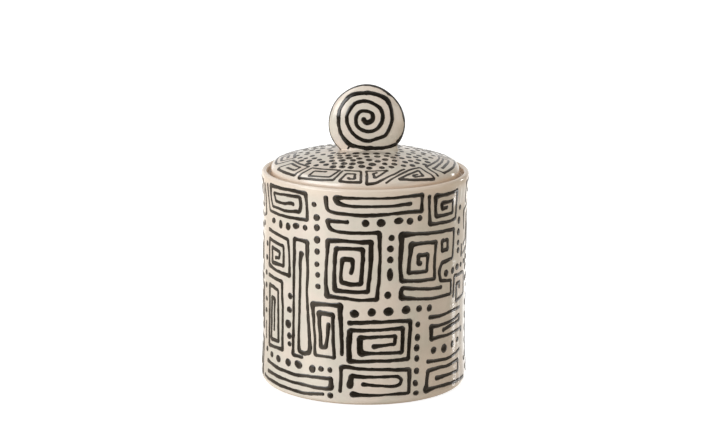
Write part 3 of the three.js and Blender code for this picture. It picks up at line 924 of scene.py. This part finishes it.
def lid_drawing(material):
    """Frets round the lid's edge, and dots on its dome."""
    half_turn = math.pi * LID_GIRTH_RADIUS
    routes = LID_FRETS + [[(a + half_turn, *rest) for a, *rest in route] for route in LID_BACK_FRETS]
    for start, end in LID_BACK_FILL:
        routes.append(square_spiral(start, LID_BACK_UPPER, end, LID_BACK_LOWER, LID_BACK_PITCH))
    lines("lid_lines", "lid", routes, on_lid, LID_LINE_HALF_WIDTH, LID_LINE_RELIEF, material)
    both = LID_DOTS + [(-x, -y, size) for x, y, size in LID_DOTS]
    spots = [(x, y, size * LID_DOT_FULLNESS, size * LID_DOT_DEPTH, 0) for x, y, size in both]
    dots("lid_dots", "lid", spots, on_dome, LID_DOT_RELIEF, material)


def knob_drawing(skin, material):
    """A spiral on each face, and a line round the edge."""
    places = KnobSkin(skin)
    sides = [("front", [KNOB_SPIRAL, KNOB_SPUR], places.front), ("back", [KNOB_SPIRAL], places.back)]
    for side, routes, place in sides:
        name = "knob_spiral_" + side
        lines(name, "lid", routes, place, KNOB_LINE_HALF_WIDTH, KNOB_LINE_RELIEF, material)
    edge = [(math.radians(turn) * KNOB_RADIUS, aside, width) for turn, aside, width in KNOB_EDGE]
    lines("knob_edge_line", "lid", [edge], places.edge, KNOB_EDGE_HALF_WIDTH, KNOB_EDGE_RELIEF, material)


# Materials

GLAZE_GREYISH = (0.74, 0.66, 0.54, 1)
GLAZE_PINKISH = (0.81, 0.69, 0.575, 1)
GLAZE_BLUSH = (0.83, 0.685, 0.55, 1)
GLAZE_SPECK = (0.5, 0.38, 0.27, 1)
GLAZE_ON_RIM = (0.85, 0.68, 0.53, 1)
BARE_CLAY = (0.58, 0.44, 0.32, 1)
# Millimetres over which the glaze warms towards the rim and thins out to bare clay
RIM_WARMTH_BELOW = 5
RIM_WARMTH_EDGE = 2
GLAZE_EDGE = 0.6
FOOT_GLAZE_EDGE = (0.6, 1.6)
SLIP_BLACK = (0.007, 0.0045, 0.002, 1)
SLIP_SOFT_BLACK = (0.012, 0.0075, 0.0035, 1)
SLIP_THIN = (0.085, 0.055, 0.034, 1)
PAPER = (0.72, 0.695, 0.645, 1)
PAPER_SHADOW = (0.45, 0.45, 0.45, 1)
PAPER_GLOW = 0.86
WHITE = (1, 1, 1, 1)


class Wire:
    """A socket in a material's nodes. Sums and products of wires add Math nodes."""

    def __init__(self, tree, socket=None):
        self.tree = tree
        self.socket = socket

    def node(self, kind, settings=None, inputs=None, output=0):
        """Add any node: its settings first, then the values or wires of its inputs."""
        made = self.tree.nodes.new("ShaderNode" + kind)
        for name, value in (settings or {}).items():
            setattr(made, name, value)
        for name, value in (inputs or {}).items():
            if isinstance(value, Wire):
                self.tree.links.new(value.socket, made.inputs[name])
            else:
                made.inputs[name].default_value = value
        return Wire(self.tree, made.outputs[output])

    def math(self, operation, first, second):
        return self.node("Math", {"operation": operation}, {0: first, 1: second})

    def __add__(self, other):
        return self.math("ADD", self, other)

    def __sub__(self, other):
        return self.math("SUBTRACT", self, other)

    def __rsub__(self, other):
        return self.math("SUBTRACT", other, self)

    def __mul__(self, other):
        return self.math("MULTIPLY", self, other)

    __radd__ = __add__
    __rmul__ = __mul__

    def between(self, low, high):
        """0 below one value, 1 above the other, smooth between them."""
        limits = {"Value": self, "From Min": low, "From Max": high}
        return self.node("MapRange", {"interpolation_type": "SMOOTHSTEP"}, limits)

    def cloud(self, scale, detail):
        """Noise at a place, scale in cycles per metre."""
        return self.node("TexNoise", {}, {"Vector": self, "Scale": scale, "Detail": detail})

    def tint(self, first, second):
        """Two colours mixed by this wire."""
        return self.node("Mix", {"data_type": "RGBA"}, {0: self, 6: first, 7: second}, 2)

    def into(self, socket):
        self.tree.links.new(self.socket, socket)


def new_material(name):
    """A material, its shader, and a wire to start from."""
    made = bpy.data.materials.new(name)
    made.use_nodes = True
    shader = made.node_tree.nodes["Principled BSDF"]
    return made, shader, Wire(made.node_tree)


def cream_glaze():
    """Glossy cream glaze, mottled from greyish to pinkish, with bare clay on the foot ring and the seat."""
    made, shader, wire = new_material("cream_glaze")
    place = wire.node("TexCoord", output="Object")
    height = wire.node("SeparateXYZ", {}, {"Vector": place}, "Z")
    mottle = place.cloud(60, 3).between(0.36, 0.64)
    blush = place.cloud(30, 2).between(0.45, 0.65)
    grain = place.cloud(1100, 2).between(0.6, 0.8)
    colour = mottle.tint(GLAZE_GREYISH, GLAZE_PINKISH)
    colour = (blush * 0.6).tint(colour, GLAZE_BLUSH)
    colour = (grain * 0.14).tint(colour, GLAZE_SPECK)
    lip = height.between((LEDGE - RIM_WARMTH_BELOW) * MM, (RIM - RIM_WARMTH_EDGE) * MM)
    lip = lip * (1 - height.between(RIM * MM, (RIM + RIM_WARMTH_EDGE) * MM))
    colour = (lip * 0.6).tint(colour, GLAZE_ON_RIM)
    foot = 1 - height.between(FOOT_GLAZE_EDGE[0] * MM, FOOT_GLAZE_EDGE[1] * MM)
    level = wire.node("VectorMath", {"operation": "MULTIPLY"}, {0: place, 1: (1, 1, 0)})
    radius = wire.node("VectorMath", {"operation": "LENGTH"}, {0: level}, "Value")
    inside = 1 - radius.between((GALLERY_RADIUS - GLAZE_EDGE) * MM, GALLERY_RADIUS * MM)
    above = height.between((LEDGE - GLAZE_EDGE) * MM, LEDGE * MM)
    seat = above * (1 - height.between(LID_SEAT * MM, (LID_SEAT + LID_SEAT_BEVEL) * MM))
    bare = foot + seat * inside
    colour = bare.tint(colour, BARE_CLAY)
    colour.into(shader.inputs["Base Color"])
    roughness = 0.07 + 0.06 * place.cloud(120, 3) + 0.5 * bare
    roughness.into(shader.inputs["Roughness"])
    ripple = 0.22 * place.cloud(55, 2) + 0.16 * place.cloud(140, 2) + 0.03 * place.cloud(420, 2)
    bump = wire.node("Bump", {}, {"Height": ripple, "Strength": 1, "Distance": MM}, "Normal")
    bump.into(shader.inputs["Normal"])
    shader.inputs["Coat Weight"].default_value = 0.3
    shader.inputs["Coat Roughness"].default_value = 0.05
    return made


def black_slip():
    """Black slip under the same glaze, a little brown where it runs thin at the edges of a stroke."""
    made, shader, wire = new_material("black_slip")
    place = wire.node("TexCoord", output="Object")
    depth = wire.node("Attribute", {"attribute_name": "slip_depth"}, {}, "Fac")
    thin = 1 - depth.between(0.0, 0.7)
    uneven = place.cloud(260, 3).between(0.4, 0.7)
    colour = uneven.tint(SLIP_BLACK, SLIP_SOFT_BLACK)
    colour = (thin * 0.75).tint(colour, SLIP_THIN)
    colour.into(shader.inputs["Base Color"])
    roughness = 0.06 + 0.08 * place.cloud(340, 3)
    roughness.into(shader.inputs["Roughness"])
    ripple = place.cloud(500, 3)
    bump = wire.node("Bump", {}, {"Height": ripple, "Strength": 0.2, "Distance": 0.2 * MM}, "Normal")
    bump.into(shader.inputs["Normal"])
    return made


# Stage

FLOOR_SIZE = 12
FLOOR_DROP = 0.2 * MM
LOW_FILL = (0.44, 0.405, 0.36, 1)
HIGH_FILL = (0.6, 0.592, 0.567, 1)
TABLE_WARMTH = (1, 0.86, 0.7, 1)
LID_WARMTH = (1, 0.95, 0.88, 1)

# Lamps in metres: name, place, aim, width and height, watts, colour
LAMPS = [
    ("key_left", (-0.92, -0.82, 0.32), (0, 0, 0.08), (0.7, 0.9), 11.7, (0.77, 0.865, 1)),
    ("strip_right", (0.74, 0.52, 0.2), (0, 0, 0.2), (0.16, 1.2), 0.7, (0.92, 0.96, 1)),
    ("overhead", (0, 0, 1.2), (0, 0, 0.08), (0.6, 0.6), 1.45, (0.62, 0.77, 1)),
    ("fill_behind", (-0.5, 1.3, 0.5), (0, 0, 0.08), (1, 0.8), 6, (0.92, 0.95, 1)),
]

# Camera at the photograph's place: image 728 by 440, focal length in pixels
IMAGE_WIDTH = 728
FOCAL_PIXELS = 2290.8
SENSOR_WIDTH = 36
CAMERA_PLACE = (-0.00045, -1.2071, 0.3602)
CAMERA_PITCH = math.radians(12.72)
CAMERA_ROLL = 0.0086


def floor():
    """A white sheet. The camera sees it white with the jar's shadow, and the glaze doesn't mirror it."""
    bpy.ops.object.select_all(action="DESELECT")
    bpy.ops.mesh.primitive_plane_add(size=FLOOR_SIZE, location=(0, 0, -FLOOR_DROP))
    sheet = bpy.context.object
    sheet.name = "floor"
    bpy.ops.object.transform_apply(location=True)
    made = bpy.data.materials.new("white_paper")
    made.use_nodes = True
    tree = made.node_tree
    tree.nodes.clear()
    wire = Wire(tree)
    camera_ray = wire.node("LightPath", output="Is Camera Ray")
    through_ray = wire.node("LightPath", output="Is Transmission Ray")
    paper = wire.node("BsdfDiffuse", {}, {"Color": PAPER})
    shadow = wire.node("BsdfDiffuse", {}, {"Color": PAPER_SHADOW})
    glow = wire.node("Emission", {}, {"Color": WHITE, "Strength": PAPER_GLOW})
    backdrop = wire.node("AddShader", {}, {0: shadow, 1: glow})
    straight = wire.math("MINIMUM", camera_ray + through_ray, 1)
    surface = wire.node("MixShader", {}, {0: straight, 1: paper, 2: backdrop})
    output = tree.nodes.new("ShaderNodeOutputMaterial")
    surface.into(output.inputs["Surface"])
    sheet.data.materials.append(made)
    sheet.visible_glossy = False


def world():
    """White to the camera, the studio's bright and dim sides to mirrored rays, and soft fill for the rest."""
    scene = bpy.context.scene
    scene.world = bpy.data.worlds.new("studio")
    scene.world.use_nodes = True
    tree = scene.world.node_tree
    wire = Wire(tree)
    camera_ray = wire.node("LightPath", output="Is Camera Ray")
    glossy_ray = wire.node("LightPath", output="Is Glossy Ray")
    through_ray = wire.node("LightPath", output="Is Transmission Ray")
    direction = wire.node("TexCoord", output="Generated")
    x, y, z = (wire.node("SeparateXYZ", {}, {"Vector": direction}, axis) for axis in "XYZ")
    turn = wire.math("ARCTAN2", x, -1 * y)

    def card(start, end, soft):
        """1 between two bearings in degrees, round from the camera's side to the right, with soft edges."""
        left = turn.between(math.radians(start - soft), math.radians(start + soft))
        right = turn.between(math.radians(end - soft), math.radians(end + soft))
        return left * (1 - right)

    def level(start, full, fade, gone):
        """1 between two heights of the mirrored ray, with soft edges."""
        return z.between(start, full) * (1 - z.between(fade, gone))

    # The room: a dim base that brightens at the table and overhead, its two sides and a broad window
    base = 0.04 + 0.5 * z.between(-0.3, -0.2) - 0.34 * z.between(-0.2, -0.1)
    base = base + 0.75 * (1 - z.between(-0.36, -0.31)) + 0.6 * z.between(0.6, 0.8)
    left_side = 0.45 * card(-160, -68, 8)
    window = (1.4 + 0.3 * z.between(-0.26, -0.2)) * card(-72, -42, 6) + 0.25 * card(-44, -20, 6)
    window = window * (1 - z.between(-0.15, -0.05))
    right_side = (0.07 + 0.13 * z.between(-0.32, -0.22)) * card(48, 112, 8)
    right_side = right_side + 1.2 * card(46, 96, 8) * level(-0.18, -0.08, 0.3, 0.45)
    room = base + left_side + window + right_side
    warmth = z.between(-0.15, 0.05).tint(TABLE_WARMTH, LID_WARMTH)
    room = wire.node("VectorMath", {"operation": "SCALE"}, {0: warmth, "Scale": room})

    # Daylight: the cards at the left, the panes and their veil at the right, and the backdrop
    key_card = 5.5 * card(-78, -30, 8) * level(-0.06, 0.14, 0.48, 0.64)
    top_card = 1.8 * card(-150, -65, 12) * level(0.55, 0.7, 0.85, 0.95)
    veil = (0.75 - 0.62 * z.between(-0.25, -0.2)) * card(122, 179, 3) + 0.3 * card(115, 122, 2)
    veil = veil * level(-0.45, -0.35, -0.2, -0.08)
    panes = 9 * card(121.6, 123, 0.4) + 7 * card(126, 127.2, 0.4) + 3 * card(137, 138.4, 0.5)
    panes = panes * level(-0.34, -0.31, -0.265, -0.235)
    rim_pane = 6 * card(131, 136, 1) * level(-0.1, -0.02, 0.12, 0.18)
    backdrop = (0.75 - 0.4 * z.between(-0.05, 0.2)) * y.between(0.8, 0.97)
    backdrop = backdrop + 0.12 * y.between(0.3, 0.65) * z.between(-0.15, 0.05)
    daylight = key_card + top_card + veil + panes + rim_pane + backdrop
    studio = wire.node("VectorMath", {"operation": "ADD"}, {0: room, 1: daylight})
    fill = z.between(0.1, 0.8).tint(LOW_FILL, HIGH_FILL)
    straight = wire.math("MINIMUM", camera_ray + through_ray, 1)
    mirrored = glossy_ray.tint(fill, studio)
    background = tree.nodes["Background"]
    straight.tint(mirrored, WHITE).into(background.inputs["Color"])


def softbox(name, place, aim, size, power, colour):
    """A rectangular lamp that the glaze doesn't mirror: the studio round it has cards in its place."""
    lamp = bpy.data.lights.new(name, "AREA")
    lamp.shape = "RECTANGLE"
    lamp.size = size[0]
    lamp.size_y = size[1]
    lamp.energy = power
    lamp.color = colour
    box = bpy.data.objects.new(name, lamp)
    bpy.context.collection.objects.link(box)
    box.location = place
    box.visible_glossy = False
    box.rotation_euler = (Vector(aim) - Vector(place)).to_track_quat("-Z", "Y").to_euler()


def camera():
    """A camera that sees the jar as the photograph does."""
    lens = bpy.data.cameras.new("camera")
    lens.sensor_width = SENSOR_WIDTH
    lens.lens = FOCAL_PIXELS / IMAGE_WIDTH * lens.sensor_width
    eye = bpy.data.objects.new("camera", lens)
    bpy.context.collection.objects.link(eye)
    tilt = Matrix.Rotation(math.pi / 2 - CAMERA_PITCH, 4, "X")
    roll = Matrix.Rotation(CAMERA_ROLL, 4, "Z")
    eye.matrix_world = Matrix.Translation(CAMERA_PLACE) @ tilt @ roll
    bpy.context.scene.camera = eye


def build():
    camera()
    glaze = cream_glaze()
    slip = black_slip()
    jar_body(glaze)
    lid(glaze)
    knob_skin = knob(glaze)
    wall_drawing(slip)
    lid_drawing(slip)
    knob_drawing(knob_skin, slip)
    floor()
    world()
    for lamp in LAMPS:
        softbox(*lamp)
    bpy.context.scene.view_settings.view_transform = "Standard"


build()
